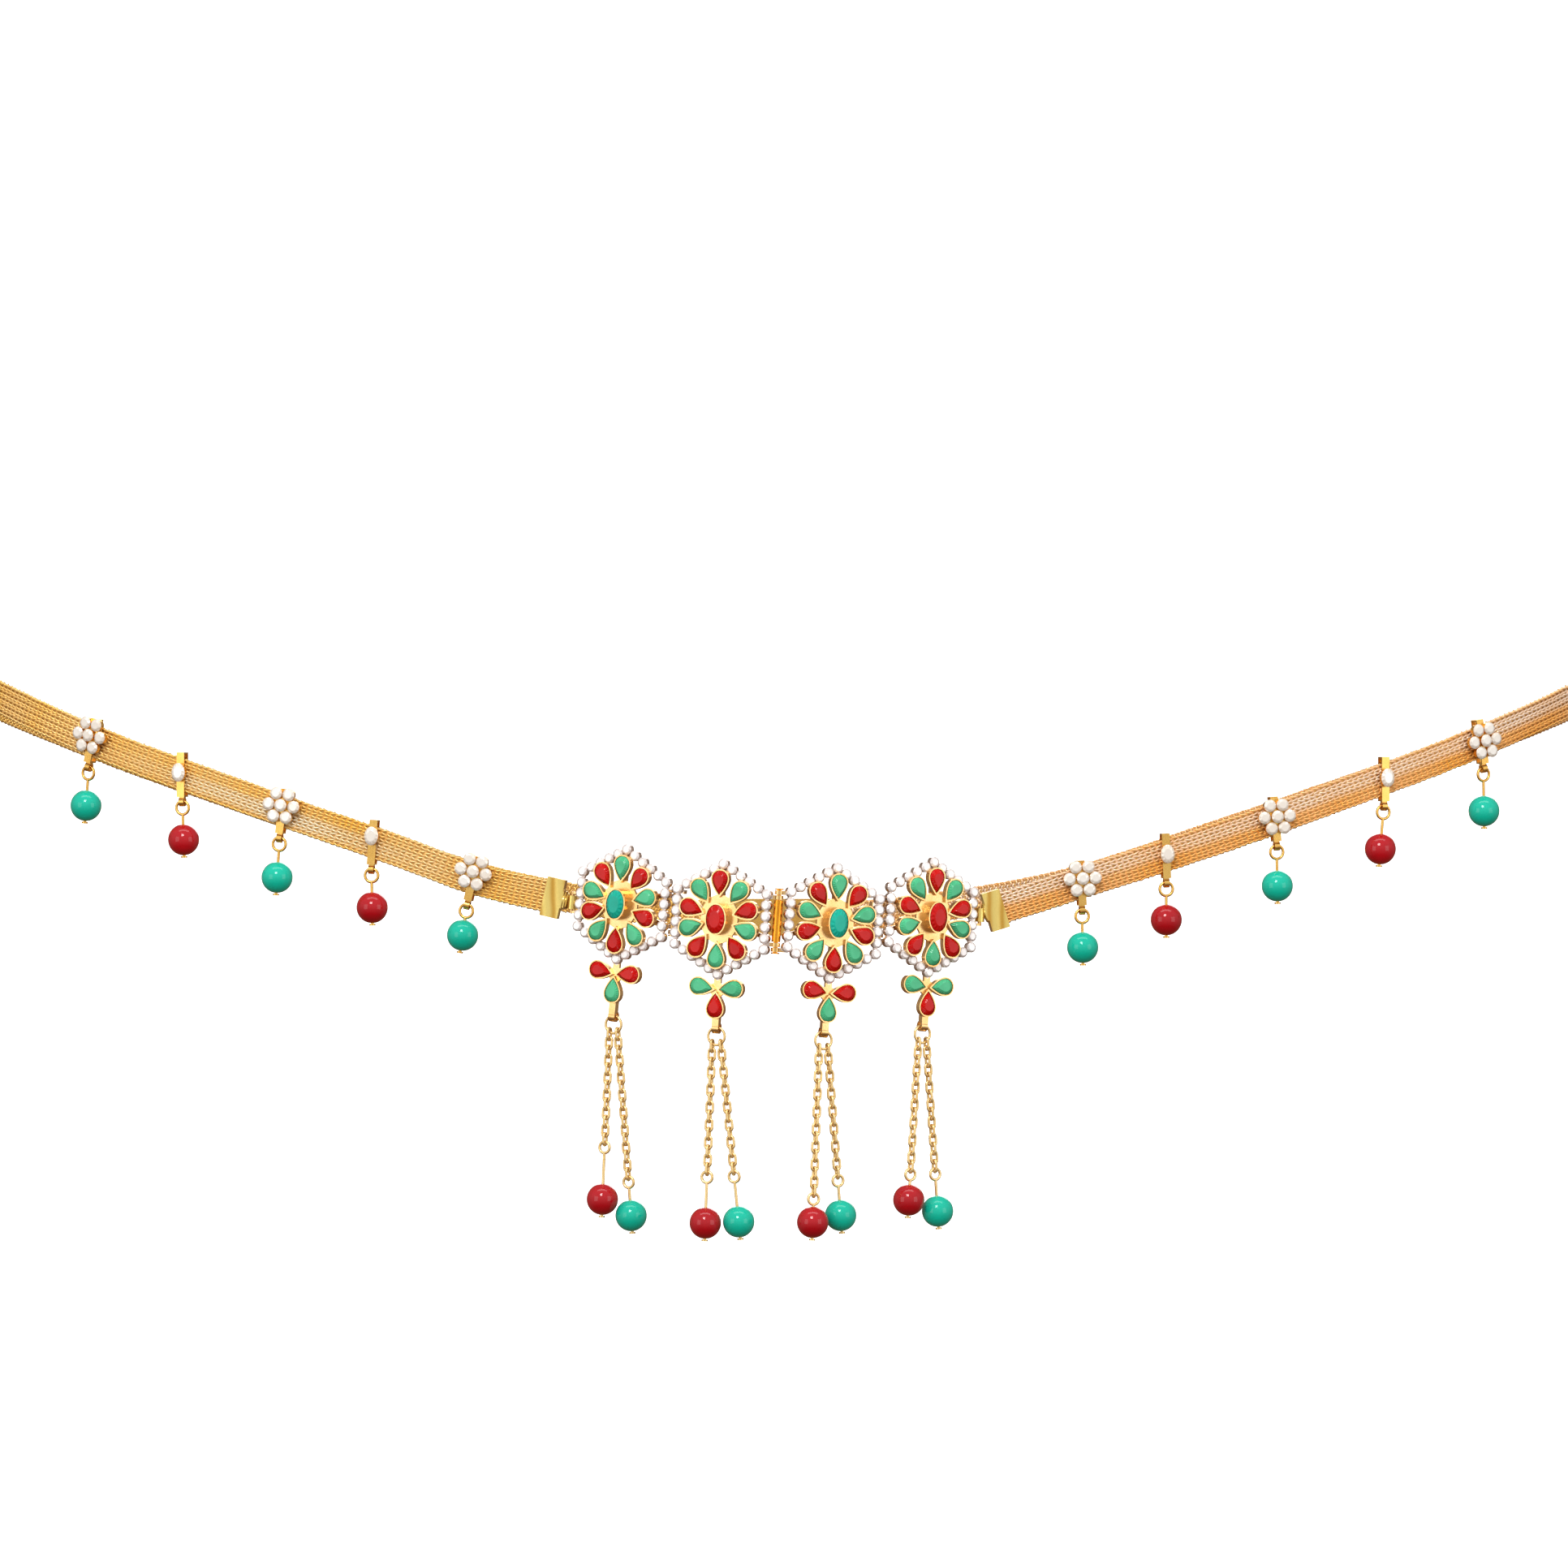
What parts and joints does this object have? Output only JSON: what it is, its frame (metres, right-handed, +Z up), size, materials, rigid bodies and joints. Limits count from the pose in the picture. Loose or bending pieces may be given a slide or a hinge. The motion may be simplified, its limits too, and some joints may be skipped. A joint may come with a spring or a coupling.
{
  "type": "oddiyanam waist belt",
  "caption": "Waist belt with a woven gold band, hinged hexagonal flower plaques set with red and green stones, and bead drops and chain tassels hanging below.",
  "frame": {"origin": "middle of the waist opening that the belt is worn round", "axes": "+X across the wearer towards the viewer's right, the plaques face -Y, +Z up"},
  "size_m": [0.3932, 0.2332, 0.1361],
  "materials": {
    "polished_gold": "gold-plated, polished",
    "woven_gold": "gold-plated fine woven wire, bright",
    "chain_gold": "pale gold-plated wire, polished",
    "red_stone": "opaque foiled glass, cut and polished",
    "green_stone": "opaque foiled glass, cut and polished",
    "teal_stone": "opaque foiled glass, cut and polished",
    "red_bead": "opaque glass, high gloss",
    "green_bead": "opaque glass, high gloss"
  },
  "bodies": {
    "root": {"plaque_1": "polished_gold", "plaque_2": "polished_gold", "plaque_3": "polished_gold", "plaque_4": "polished_gold", "centre_stone_1": "teal_stone", "centre_stone_2": "red_stone", "centre_stone_3": "teal_stone", "centre_stone_4": "red_stone", "red_petals_1": "red_stone", "red_petals_2": "red_stone", "red_petals_3": "red_stone", "red_petals_4": "red_stone", "green_petals_1": "green_stone", "green_petals_2": "green_stone", "green_petals_3": "green_stone", "green_petals_4": "green_stone", "hinge_rod_left": "polished_gold", "hinge_barrel": "polished_gold", "hinge_rod_right": "polished_gold", "band_left": "woven_gold", "band_right": "woven_gold", "end_cap_left": "polished_gold", "end_cap_right": "polished_gold", "clasp": "polished_gold", "settings_left": "polished_gold", "settings_right": "polished_gold", "drop_pins_left": "polished_gold", "drop_pins_right": "polished_gold", "drop_bead_left_1": "green_bead", "drop_bead_left_2": "red_bead", "drop_bead_left_3": "green_bead", "drop_bead_left_4": "red_bead", "drop_bead_left_5": "green_bead", "drop_bead_right_1": "green_bead", "drop_bead_right_2": "red_bead", "drop_bead_right_3": "green_bead", "drop_bead_right_4": "red_bead", "drop_bead_right_5": "green_bead", "tassel_ring_1": "chain_gold", "tassel_ring_2": "chain_gold", "tassel_ring_3": "chain_gold", "tassel_ring_4": "chain_gold", "red_chain_1": "chain_gold", "red_chain_2": "chain_gold", "red_chain_3": "chain_gold", "red_chain_4": "chain_gold", "green_chain_1": "chain_gold", "green_chain_2": "chain_gold", "green_chain_3": "chain_gold", "green_chain_4": "chain_gold", "red_tassel_bead_1": "red_bead", "red_tassel_bead_2": "red_bead", "red_tassel_bead_3": "red_bead", "red_tassel_bead_4": "red_bead", "green_tassel_bead_1": "green_bead", "green_tassel_bead_2": "green_bead", "green_tassel_bead_3": "green_bead", "green_tassel_bead_4": "green_bead"}
  },
  "joints": []
}
